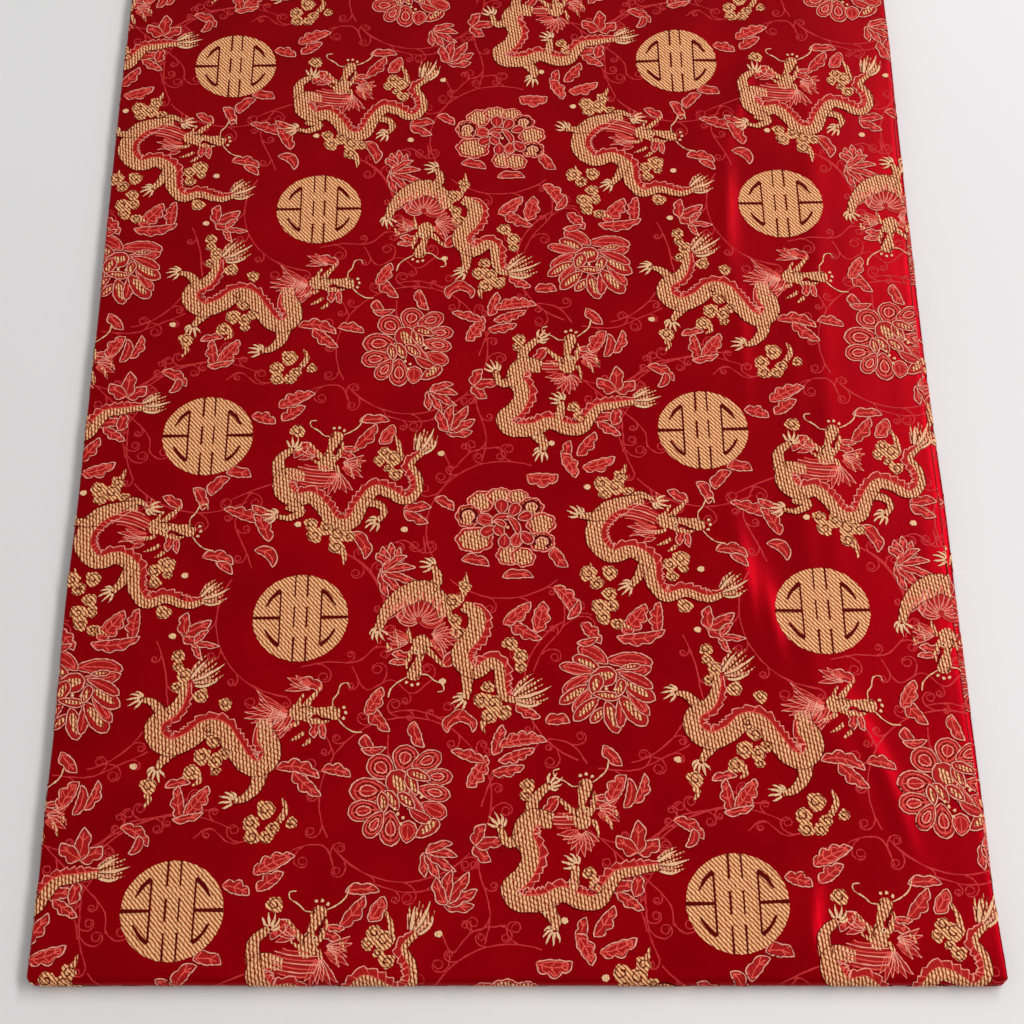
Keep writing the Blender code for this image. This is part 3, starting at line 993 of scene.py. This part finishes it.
# Rings of vine: x, y, radius, first and last angle
RINGS = (
    (43, -291, 34, -20, 62), (43, -291, 34, 148, 262), (86, -367, 33, 58, 208),
    (86, -367, 33, 215, 318), (86, -367, 33, -22, 34), (125, -251, 32, 68, 205),
    (125, -251, 32, 226, 312), (165, -322, 33, 120, 172), (165, -322, 33, 196, 248),
    (0, -205, 37, -142, -60), (0, -409.8, 37, 58, 142), (165, -322, 33, -76, -30),
)
VINES = (
    ((-14, -300), (-10, -312), (-8, -326), (-7, -329)),
    ((54, -340), (58, -349), (55, -356)),
    ((15, -371), (8, -371), (-6, -373), (-20, -378), (-34, -386)),
    ((60, -262), (68, -267), (75, -278), (77, -287)),
    ((136, -315), (140, -306), (148, -296), (149, -285)),
    ((79, -332), (88, -331), (98, -334), (106, -341), (114, -350)),
    ((75, -196), (86, -199), (96, -198), (104, -194)),
    ((12, -236), (20, -232), (30, -228)),
    ((152, -376), (160, -384), (176, -386), (190, -376), (204, -373)),
    ((160, -356), (174, -357), (186, -352), (196, -347)),
    ((176, -400), (176, -412), (177, -422), (180, -430)),
    ((44, -312), (54, -310), (66, -310), (74, -303)),
    ((79, -341), (79, -348), (81, -352)),
    ((115, -371), (118, -362), (121, -356)),
    ((148, -296), (156, -290), (160, -291)),
    ((64, -312), (70, -322), (80, -318), (88, -324), (96, -318)),
    ((100, -214), (104, -222), (112, -214), (124, -212)),
    ((60, -396), (56, -386), (46, -386), (38, -392)),
    ((112, -384), (114, -396), (118, -412), (116, -424)),
    ((-30, -396), (-36, -408), (-34, -420)),
    ((20, -232), (14, -246), (20, -262), (22, -268)),
    ((160, -384), (168, -392), (184, -408), (186, -418)),
    ((74, -260), (84, -256), (92, -262), (92, -254)),
    ((134, -350), (140, -344), (150, -346), (156, -354)),
    ((30, -382), (20, -384), (12, -378), (6, -382)),
)
VINE_WIDTH = 0.55

# Side shoots: the way between them, their lean, size and steps, and how they curl up
SHOOT_PITCH = 12.0
SHOOT_LEAN = 20
SHOOT_SIZE = 2.7
SHOOT_VARIES = 0.9
SHOOT_POINTS = 24
SHOOT_STEP = 0.30
SHOOT_BEND = 40
SHOOT_CURL = 500


def shoot(x, y, angle, size, hand):
    """A vine's side shoot, which winds up into a curl."""
    t = np.linspace(0, 1, SHOOT_POINTS)
    steps = toward(angle + hand * (SHOOT_BEND * t + SHOOT_CURL * t**2)) * size * SHOOT_STEP
    strip("vine", trail(x, y, steps), VINE_WIDTH * (1 - 0.3 * t))


def vine(line, hands):
    """A thin rose line with shoots, in turn to each of the given sides."""
    strip("vine", line, VINE_WIDTH)
    reach = reach_along(line)
    side = sideways(line)
    for k, place in enumerate(np.arange(SHOOT_PITCH / 2, reach[-1], SHOOT_PITCH)):
        i = np.searchsorted(reach, place)
        hand = hands[k % len(hands)]
        heading = math.degrees(math.atan2(-side[i, 0], side[i, 1]))
        size = SHOOT_SIZE + SHOOT_VARIES * math.sin(2.4 * k + reach[-1])
        shoot(*line[i], heading + SHOOT_LEAN * hand, size, hand)


def vines():
    """Rings round the roundels and flowers, with outer shoots, and winding stems between them."""
    for x, y, radius, first, last in RINGS:
        turns = np.linspace(first, last, max(8, int(abs(last - first) / 5)))
        vine(toward(turns) * radius + (x, y), (-1,))
    for knots in VINES:
        vine(smooth(knots, 2.0), (-1, 1))


# Orders of the patches that lie over each other
LEAF_LEVELS = 6
FIRST_INNER = 10
INNER_SIZE = 0.86
SEED_ORDER = 22


def draw_repeat():
    """Draw every figure of one repeat."""
    vines()
    for spot in MEDALLIONS:
        medallion(*spot)
    for row in DRAGONS:
        dragon(row)
    for row in CLOUDS:
        cloud(*row)
    for knots in STEMS:
        brush("scaled", knots, 0.04)
    for spot in DOTS:
        disc("cream", *spot, *DOT, lobes=3, depth=0.1)
    for k, row in enumerate(LEAVES):
        blade(*row, k % LEAF_LEVELS, rings=int(row.width > RINGED_WIDTH))
    for row in PALMS:
        palm(*row)
    for k, row in enumerate(PEONY_LOBES):
        lobe(k, *row)
    for flower in (WIDE_LOTUS, SLIM_LOTUS):
        for k, row in enumerate(flower):
            petal(k, 1.0, *row)
    for k, row in enumerate(PEONY_INNER):
        petal(k + FIRST_INNER, INNER_SIZE, *row)
    for spot in SEEDS:
        disc("cream", *spot, SEED, level=level_of(SEED_ORDER))


# From the flat repeat to the folded cloth

def split(corners, value):
    """Split the triangles along the line where value is zero. corners is triangles by 3 by columns."""
    above = value > 0
    count = above.sum(1)
    crossing = (count == 1) | (count == 2)
    whole, whole_above = corners[~crossing], count[~crossing] > 0
    cut, cut_value, cut_above = corners[crossing], value[crossing], above[crossing]
    lone = np.where(count[crossing] == 1, cut_above.argmax(1), (~cut_above).argmax(1))
    order = (lone[:, None] + np.arange(3)) % 3
    cut = np.take_along_axis(cut, order[..., None], 1)
    cut_value = np.take_along_axis(cut_value, order, 1)
    lone_above = cut_value[:, 0] > 0
    a, b, c = cut[:, 0], cut[:, 1], cut[:, 2]
    near_b = a + (b - a) * (cut_value[:, 0] / (cut_value[:, 0] - cut_value[:, 1]))[:, None]
    near_c = a + (c - a) * (cut_value[:, 0] / (cut_value[:, 0] - cut_value[:, 2]))[:, None]
    tips = np.stack([a, near_b, near_c], 1)
    trunks = np.concatenate([np.stack([near_b, b, c], 1), np.stack([near_b, c, near_c], 1)])
    parts = np.concatenate([whole, tips, trunks])
    return parts, np.concatenate([whole_above, lone_above, np.tile(~lone_above, 2)])


def keep_above(corners, value):
    """The parts of the triangles where value is above zero."""
    parts, above = split(corners, value)
    return parts[above]


def past_sides(corners):
    """How far each corner lies past the start of the nearer side fold."""
    low, high = along_fold(corners[..., 1])[2:]
    return np.maximum(low - corners[..., 0], corners[..., 0] - high)


SIDE_CUTS = 7
TURN_CUTS = 14
FLAP_SHOWN = 1.5
CUT_MARGIN = 0.4


def laid_on(corners):
    """Trim the triangles to the shown cloth, and cut them finely where it folds."""
    side_end = SIDE_ARC + FLAP_SHOWN
    corners = corners[(past_sides(corners) < side_end).any(1)]
    corners = keep_above(corners, FAR_END - CUT_MARGIN - corners[..., 1])
    corners = keep_above(corners, corners[..., 1] - UNDER_END - CUT_MARGIN)
    on_fold = (past_sides(corners) > -1).any(1)
    flat, side = corners[~on_fold], corners[on_fold]
    side = keep_above(side, side_end - past_sides(side))
    for k in range(SIDE_CUTS + 1):
        side = split(side, past_sides(side) - k * SIDE_ARC / SIDE_CUTS)[0]
    corners = np.concatenate([flat, side])
    along = corners[..., 1]
    on_turn = (along < TOP_END).any(1) & (along > TOP_END - TURN_ARC).any(1)
    flat, turn = corners[~on_turn], corners[on_turn]
    for k in range(TURN_CUTS + 1):
        turn = split(turn, TOP_END - k * TURN_ARC / TURN_CUTS - turn[..., 1])[0]
    return np.concatenate([flat, turn])


def over_cloth(thread):
    """One thread's patches, repeated over the cloth, in cloth coordinates."""
    repeat = np.concatenate(drawn[thread])
    found = []
    for across in COPIES_ACROSS:
        for along in COPIES_ALONG:
            copy = repeat + (across * REPEAT_X, along * REPEAT_Y, 0.0)
            flat = turned(copy[..., :2].reshape(-1, 2), PATTERN_TILT) + PATTERN_SHIFT
            copy[..., :2] = flat.reshape(-1, 3, 2)
            x, y = copy[..., 0], copy[..., 1]
            shown = (abs(x) < PANEL_WIDTH / 2 + SIDE_ARC) & (y < FAR_END) & (y > UNDER_END)
            found.append(copy[shown.any(1)])
    return laid_on(np.concatenate(found))


def placed_object(name, data):
    """A new object in the scene."""
    piece = bpy.data.objects.new(name, data)
    bpy.context.scene.collection.objects.link(piece)
    return piece


def mesh_object(name, points, faces, flat, material):
    """A smooth mesh with its flat cloth coordinates, in metres, as its UV map."""
    mesh = bpy.data.meshes.new(name)
    mesh.from_pydata(points.tolist(), [], faces.tolist())
    mesh.shade_smooth()
    corner = np.empty(len(mesh.loops), np.int32)
    mesh.loops.foreach_get("vertex_index", corner)
    layer = mesh.uv_layers.new(name="flat_cloth")
    layer.uv.foreach_set("vector", (flat[corner] * MM).astype(np.float32).ravel())
    mesh.materials.append(material)
    mesh.update()
    return placed_object(name, mesh)


WELD = 0.002
LEAST_AREA = 1e-4


def woven_piece(name, corners, material):
    """One thread's folded mesh, with corners that meet joined and every triangle face up."""
    keys = np.round(corners.reshape(-1, 3) / WELD).astype(np.int64)
    first, index = np.unique(keys, axis=0, return_index=True, return_inverse=True)[1:]
    flat = corners.reshape(-1, 3)[first]
    faces = index.reshape(-1, 3)
    whole = (faces[:, [1, 2, 0]] != faces).all(1)
    a, b, c = (flat[faces[:, k], :2] for k in range(3))
    area = (b - a)[:, 0] * (c - a)[:, 1] - (b - a)[:, 1] * (c - a)[:, 0]
    faces = np.where(area[:, None] < 0, faces[:, ::-1], faces)
    faces = faces[whole & (abs(area) > LEAST_AREA)]
    return mesh_object(name, folded(*flat.T), faces, flat[:, :2], material)


# Grid of the sheet: columns of each stretch from one cut edge to the other, and rows
FLAP_COLUMNS = 10
FOLD_COLUMNS = 10
PLAIN_COLUMNS = 44
RIPPLED_COLUMNS = 84
PLAIN_SHARE = 0.5
TOP_ROWS = 176
TURN_ROWS = 20
UNDER_ROWS = 40


def sheet_faces(rows, cols):
    """Faces of a closed sheet: the face side, the wrong side under it, and the rim that joins them."""
    row, col = np.meshgrid(np.arange(rows - 1), np.arange(cols - 1), indexing="ij")
    corner = (row * cols + col).ravel()
    quads = np.stack([corner, corner + cols, corner + cols + 1, corner + 1], 1)
    other = rows * cols
    edge = np.concatenate([
        np.arange(cols),
        np.arange(1, rows) * cols + cols - 1,
        np.arange(cols - 2, -1, -1) + (rows - 1) * cols,
        np.arange(rows - 2, 0, -1) * cols,
    ])
    following = np.roll(edge, -1)
    rim = np.stack([edge, following, following + other, edge + other], 1)
    return np.concatenate([quads, quads[:, ::-1] + other, rim])


def cloth_sheet(material):
    """The whole cut length as one closed sheet, with a face side and a wrong side."""
    along = np.concatenate([
        np.linspace(FAR_END, TOP_END, TOP_ROWS, endpoint=False),
        np.linspace(TOP_END, TOP_END - TURN_ARC, TURN_ROWS, endpoint=False),
        np.linspace(TOP_END - TURN_ARC, UNDER_END, UNDER_ROWS),
    ])
    low, high = along_fold(along)[2:]
    cut_left = 2 * low - SIDE_ARC + FLAP_SPLIT
    cut_right = 2 * high + SIDE_ARC - FLAP_SPLIT
    middle = low + PLAIN_SHARE * (high - low)
    stops = (cut_left, low - SIDE_ARC, low, middle, high, high + SIDE_ARC, cut_right)
    spans = (FLAP_COLUMNS, FOLD_COLUMNS, PLAIN_COLUMNS, RIPPLED_COLUMNS, FOLD_COLUMNS, FLAP_COLUMNS)
    columns = []
    for start, end, count in zip(stops, stops[1:], spans):
        columns += [start + (end - start) * k / count for k in range(count)]
    across = np.stack(columns + [cut_right], 1)
    flat = np.stack([across, np.broadcast_to(along[:, None], across.shape)], -1).reshape(-1, 2)
    face_side = folded(*flat.T, 0.0)
    wrong_side = folded(*flat.T, FLOAT_HEIGHT - SHEET)
    points = np.vstack([face_side, wrong_side])
    faces = sheet_faces(*across.shape)
    return mesh_object("brocade_cloth", points, faces, np.vstack([flat, flat]), material)


# Materials

def nodes_of(name):
    """A new material, its node tree and its shader."""
    material = bpy.data.materials.new(name)
    material.use_nodes = True
    return material, material.node_tree, material.node_tree.nodes["Principled BSDF"]


def put(tree, kind, inputs=None, **settings):
    """Add a node, with settings, and with inputs given as values or as sockets to link from."""
    node = tree.nodes.new(kind)
    for name, value in settings.items():
        setattr(node, name, value)
    for name, value in (inputs or {}).items():
        if isinstance(value, bpy.types.NodeSocket):
            tree.links.new(value, node.inputs[name])
        else:
            node.inputs[name].default_value = value
    return node


def maths(tree, operation, *values):
    """The result of one sum, from values or sockets."""
    return put(tree, "ShaderNodeMath", dict(enumerate(values)), operation=operation).outputs[0]


def flat_mm(tree):
    """Flat cloth coordinates, in millimetres."""
    uv = put(tree, "ShaderNodeUVMap", uv_map="flat_cloth")
    inputs = {0: uv.outputs[0], "Scale": 1 / MM}
    return put(tree, "ShaderNodeVectorMath", inputs, operation="SCALE").outputs[0]


def stripes(tree, place, across, along, pitch, phase):
    """A 0 to 1 ramp that repeats along a slanted direction."""
    parts = put(tree, "ShaderNodeSeparateXYZ", {0: place}).outputs
    x = maths(tree, "MULTIPLY", parts[0], across / pitch)
    total = maths(tree, "MULTIPLY_ADD", parts[1], along / pitch, x)
    return maths(tree, "FRACT", maths(tree, "ADD", total, phase))


def ramp(tree, value, stops):
    """A colour ramp from rows of place and colour."""
    node = put(tree, "ShaderNodeValToRGB", {0: value})
    while len(node.color_ramp.elements) < len(stops):
        node.color_ramp.elements.new(0.5)
    for element, (place, colour) in zip(node.color_ramp.elements, stops):
        element.position = place
        element.color = (*colour, 1.0)
    return node.outputs[0]


def noise(tree, place, size):
    """Plain noise, with patches about as wide as size."""
    inputs = {"Vector": place, "Scale": 1 / size, "Detail": 0.0}
    return put(tree, "ShaderNodeTexNoise", inputs).outputs[0]


PATCH_EDGES = (0.3, 0.7)


def patchy(tree, place, size, dark, light):
    """Soft patches of two colours, about as wide as size."""
    return ramp(tree, noise(tree, place, size), tuple(zip(PATCH_EDGES, (dark, light))))


def multiplied(tree, a, b):
    """Two colours, multiplied."""
    inputs = {0: 1.0, 6: a, 7: b}
    return put(tree, "ShaderNodeMix", inputs, data_type="RGBA", blend_type="MULTIPLY").outputs[2]


def coloured(tree, shader, colour):
    """Link a colour to the shader."""
    tree.links.new(colour, shader.inputs["Base Color"])


def roughened(tree, shader, value, low, high):
    """Link a roughness from low to high to the shader."""
    rough = put(tree, "ShaderNodeMapRange", {"Value": value, "To Min": low, "To Max": high})
    tree.links.new(rough.outputs[0], shader.inputs["Roughness"])


def bump(tree, shader, height, distance, strength):
    """Link a bump to the shader."""
    inputs = {"Height": height, "Distance": distance, "Strength": strength}
    tree.links.new(put(tree, "ShaderNodeBump", inputs).outputs[0], shader.inputs["Normal"])


# The ground's two reds and its shine, its rows of floats as across, along and pitch, the width
# of its patches in millimetres, and its surface
SATIN_DARK = (0.295, 0.0003, 0.0004)
SATIN_LIGHT = (0.340, 0.0004, 0.0006)
SATIN_SHINE = (1.0, 0.03, 0.34)
SATIN_ROWS = (1.0, 0.12, 0.42)
SATIN_WANDER = 3.0
SATIN_PATCH = 26.0
SATIN_GRAIN = 1.4
SATIN_ROUGHNESS = (0.26, 0.34)
SATIN_METALLIC = 0.55
SATIN_GLOSS = 0.3
SATIN_RELIEF = (0.00002, 0.6)


def satin_material():
    """Deep red satin ground with its long floats along the cloth."""
    material, tree, shader = nodes_of("red_satin_ground")
    place = flat_mm(tree)
    threads = stripes(tree, place, *SATIN_ROWS, noise(tree, place, SATIN_WANDER))
    coloured(tree, shader, patchy(tree, place, SATIN_PATCH, SATIN_DARK, SATIN_LIGHT))
    roughened(tree, shader, noise(tree, place, SATIN_GRAIN), *SATIN_ROUGHNESS)
    shader.inputs["Metallic"].default_value = SATIN_METALLIC
    shader.inputs["Specular IOR Level"].default_value = SATIN_GLOSS
    shader.inputs["Specular Tint"].default_value = (*SATIN_SHINE, 1.0)
    bump(tree, shader, threads, *SATIN_RELIEF)
    return material


FULL = (1.0, 1.0, 1.0)
# Shades across one gold float of the medallions, as painted light and shade: the gaps are the red
# ground darkened with painted shade, the sides are painted shade and the top is a painted highlight.
TWILL_SHADED_GAP = (0.24, 0.012, 0.004)
TWILL_SHADED_SIDE = (0.82, 0.300, 0.110)
TWILL_LIT_TOP = (1.00, 0.630, 0.290)
TWILL_PAINTED_SHADING = (
    (0.00, TWILL_SHADED_GAP), (0.12, TWILL_SHADED_GAP), (0.30, TWILL_SHADED_SIDE), (0.46, TWILL_LIT_TOP),
    (0.72, TWILL_LIT_TOP), (0.88, TWILL_SHADED_SIDE), (1.00, TWILL_SHADED_GAP),
)
# The same painted light and shade across the floats of the dragons' bodies, with a brighter painted
# highlight on their tops.
FLOAT_SHADED_GAP = (0.24, 0.006, 0.002)
FLOAT_PAINTED_SHADING = (
    (0.00, FLOAT_SHADED_GAP), (0.15, FLOAT_SHADED_GAP),
    (0.30, (0.70, 0.190, 0.070)), (0.44, (1.00, 0.570, 0.260)),
    (0.66, (1.00, 0.720, 0.360)), (0.82, (0.92, 0.360, 0.140)),
    (0.95, FLOAT_SHADED_GAP), (1.00, FLOAT_SHADED_GAP),
)

# Gold threads: shades (painted light and shade across each float), main and cross rows as across, along
# and pitch, wander, and cross gaps (darkened with painted shade between floats)
Gold = namedtuple("Gold", "name shades main cross wander cross_gap")
MEDALLION_GOLD = Gold(
    "gold_twill", TWILL_PAINTED_SHADING, (0.75, 0.66, 1.3), (1.0, 0.0, 1.5), 0.5, (0.86, 0.56, 0.42)
)
DRAGON_GOLD = Gold(
    "gold_floats", FLOAT_PAINTED_SHADING, (1.0, 0.12, 1.35), (0.40, 0.92, 1.8), 0.6, (0.44, 0.14, 0.08)
)
CROSS_EDGES = (0.20, 0.84)
GOLD_WANDER = 1.6
GOLD_GRAIN = 0.9
GOLD_ROUGHNESS = (0.36, 0.56)
GOLD_GLOSS = 0.12
GOLD_RELIEF = (0.00008, 0.7)


def gold_material(row):
    """Gold weft floats: main rows with painted light and shade across each float, lit tops and dark
    shaded gaps between them, broken by fainter cross rows darkened with painted shade.
    """
    material, tree, shader = nodes_of(row.name)
    place = flat_mm(tree)
    shift = maths(tree, "MULTIPLY", noise(tree, place, GOLD_WANDER), row.wander)
    rows = stripes(tree, place, *row.main, shift)
    breaks = stripes(tree, place, *row.cross, shift)
    # Painted shade where the cross rows break the floats.
    shaded_dips = ((0.0, row.cross_gap), *((edge, FULL) for edge in CROSS_EDGES), (1.0, row.cross_gap))
    coloured(tree, shader, multiplied(tree, ramp(tree, rows, row.shades), ramp(tree, breaks, shaded_dips)))
    roughened(tree, shader, noise(tree, place, GOLD_GRAIN), *GOLD_ROUGHNESS)
    shader.inputs["Metallic"].default_value = 0.0
    shader.inputs["Specular IOR Level"].default_value = GOLD_GLOSS
    bump(tree, shader, rows, *GOLD_RELIEF)
    return material


Thread = namedtuple("Thread", "name base fleck pitch roughness metallic gloss")
PLAIN_THREADS = {
    "vine": Thread("rose_line", (0.56, 0.022, 0.026), (0.66, 0.07, 0.055), 0.9, 0.45, 0.1, 0.07),
    "rose": Thread("rose_fill", (0.47, 0.012, 0.011), (0.25, 0.002, 0.002), 1.0, 0.45, 0.1, 0.07),
    "pink": Thread("pink_line", (0.88, 0.115, 0.078), (0.56, 0.035, 0.026), 0.9, 0.5, 0.0, 0.07),
    "peach": Thread("peach_line", (1.0, 0.40, 0.29), (0.86, 0.20, 0.13), 0.9, 0.5, 0.0, 0.07),
    "cream": Thread("cream_thread", (0.96, 0.60, 0.32), (0.58, 0.20, 0.08), 1.1, 0.5, 0.0, 0.07),
    # The dark thread draws the pattern's slits, eyes and lines, and also the painted shadow lines along
    # bodies and under leaf and petal outlines.
    "dark": Thread("dark_gap", (0.13, 0.003, 0.002), (0.08, 0.002, 0.001), 0.7, 0.6, 0.0, 0.02),
}
ROUGHNESS_RANGE = 0.08
THREAD_WANDER = 1.1
THREAD_LEAN = (1.0, 0.2)
THREAD_RELIEF = (0.00004, 0.6)
FLECK_START = 0.62
FLECK_MIDDLE = 0.84


def thread_material(row):
    """A plain thread with fine upright flecks of a second colour."""
    material, tree, shader = nodes_of(row.name)
    place = flat_mm(tree)
    wander = noise(tree, place, THREAD_WANDER)
    rows = stripes(tree, place, *THREAD_LEAN, row.pitch, wander)
    stops = ((0.0, row.base), (FLECK_START, row.base), (FLECK_MIDDLE, row.fleck), (1.0, row.base))
    coloured(tree, shader, ramp(tree, rows, stops))
    low, high = row.roughness - ROUGHNESS_RANGE, row.roughness + ROUGHNESS_RANGE
    roughened(tree, shader, wander, low, high)
    shader.inputs["Metallic"].default_value = row.metallic
    shader.inputs["Specular IOR Level"].default_value = row.gloss
    bump(tree, shader, rows, *THREAD_RELIEF)
    return material


def material_of(thread):
    """The material of one kind of thread."""
    if thread in PLAIN_THREADS:
        return thread_material(PLAIN_THREADS[thread])
    return gold_material(MEDALLION_GOLD if thread == "gold" else DRAGON_GOLD)


# The floor's two greys, and the width of its patches and its grain in metres
PAPER_DARK = (0.84, 0.835, 0.80)
PAPER_LIGHT = (0.88, 0.875, 0.84)
PATCH_SIZE = 1 / 3
GRAIN_SIZE = 1 / 900
GRAIN_RELIEF = (0.0001, 0.4)
PAPER_ROUGHNESS = 0.7


def floor_material():
    """Pale grey paper with a faint uneven grain."""
    material, tree, shader = nodes_of("pale_paper")
    place = put(tree, "ShaderNodeTexCoord").outputs["Object"]
    coloured(tree, shader, patchy(tree, place, PATCH_SIZE, PAPER_DARK, PAPER_LIGHT))
    shader.inputs["Roughness"].default_value = PAPER_ROUGHNESS
    bump(tree, shader, noise(tree, place, GRAIN_SIZE), *GRAIN_RELIEF)
    return material


# Camera, light and floor

CAMERA_PLACE = (0.0017, -0.4171, 0.678)
CAMERA_PITCH = math.radians(90 - 61.63)
LENS = 64.73
LIGHT_PLACE = Vector((0.95, 0.25, 1.3))
LIGHT_LENGTH = 2.4
LIGHT_DEPTH = 0.35
LIGHT_POWER = 20.5
LIGHT_COLOUR = (0.99, 0.95, 1.0)
ROOM_COLOUR = (0.95, 0.97, 1.0, 1.0)
ROOM_LIGHT = 0.44
FLOOR_SIZE = 12.0


def photo_camera():
    """A camera that stands as the photo's did."""
    camera = placed_object("camera", bpy.data.cameras.new("camera"))
    camera.location = CAMERA_PLACE
    camera.rotation_euler = (CAMERA_PITCH, 0, 0)
    camera.data.lens = LENS
    bpy.context.scene.camera = camera


def strip_light():
    """A soft rectangular light aimed at the origin, whose length lies level."""
    light = bpy.data.lights.new("strip light", "AREA")
    light.shape = "RECTANGLE"
    light.size = LIGHT_LENGTH
    light.size_y = LIGHT_DEPTH
    light.energy = LIGHT_POWER
    light.color = LIGHT_COLOUR
    lamp = placed_object("strip light", light)
    lamp.location = LIGHT_PLACE
    lamp.rotation_mode = "QUATERNION"
    lamp.rotation_quaternion = (-LIGHT_PLACE).to_track_quat("-Z", "Y")


def room():
    """Even light from all round, shown without a colour curve."""
    world = bpy.data.worlds.new("soft studio")
    world.use_nodes = True
    background = world.node_tree.nodes["Background"]
    background.inputs["Color"].default_value = ROOM_COLOUR
    background.inputs["Strength"].default_value = ROOM_LIGHT
    bpy.context.scene.world = world
    bpy.context.scene.view_settings.view_transform = "Standard"


def paper_floor():
    """The pale surface that the cloth lies on."""
    mesh = bpy.data.meshes.new("floor")
    half = FLOOR_SIZE / 2
    corners = [(-half, -half, 0), (half, -half, 0), (half, half, 0), (-half, half, 0)]
    mesh.from_pydata(corners, [], [(0, 1, 2, 3)])
    mesh.materials.append(floor_material())
    floor = placed_object("floor", mesh)


def dressed():
    """Every piece of the folded brocade: the cloth, and each thread on its face and underside."""
    cloth = cloth_sheet(satin_material())
    figures = []
    for thread in THREADS:
        material = material_of(thread)
        corners = over_cloth(thread)
        on_face = corners[..., 1].mean(1) > TOP_END - TURN_ARC / 2
        for part, shown in (("face", on_face), ("underside", ~on_face)):
            figures.append(woven_piece(f"woven_{thread}_{part}", corners[shown], material))
    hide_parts("silk_cloth")
    for piece in (cloth, *figures):
        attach(piece, "root")
    return cloth, figures


draw_repeat()
cloth, figures = dressed()
photo_camera()
strip_light()
room()
paper_floor()
